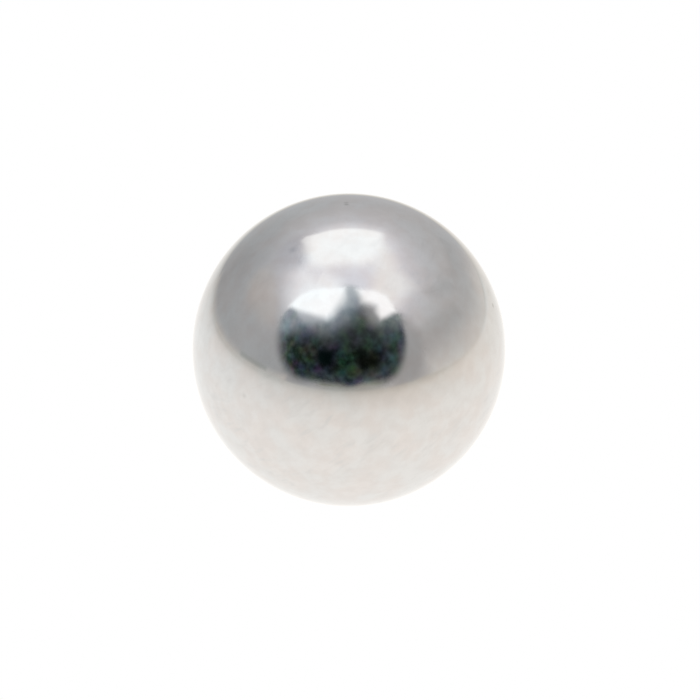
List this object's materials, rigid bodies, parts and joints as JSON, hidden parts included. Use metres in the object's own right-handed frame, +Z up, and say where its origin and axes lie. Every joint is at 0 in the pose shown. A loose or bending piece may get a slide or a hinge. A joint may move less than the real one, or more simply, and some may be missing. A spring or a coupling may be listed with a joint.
{
  "type": "steel ball",
  "caption": "Solid polished steel ball, a true sphere with a mirror finish, for rolling, seating in a cup or race, or use as a bench weight or stop.",
  "frame": {"origin": "centre of the ball", "axes": "+Z up, away from the seat under the ball; the ball is the same about every axis through its centre"},
  "size_m": [0.019, 0.019, 0.019],
  "materials": {
    "polished_steel": "mirror polished steel with very faint lapping haze"
  },
  "bodies": {
    "root": {"steel_ball": "polished_steel"}
  },
  "joints": []
}
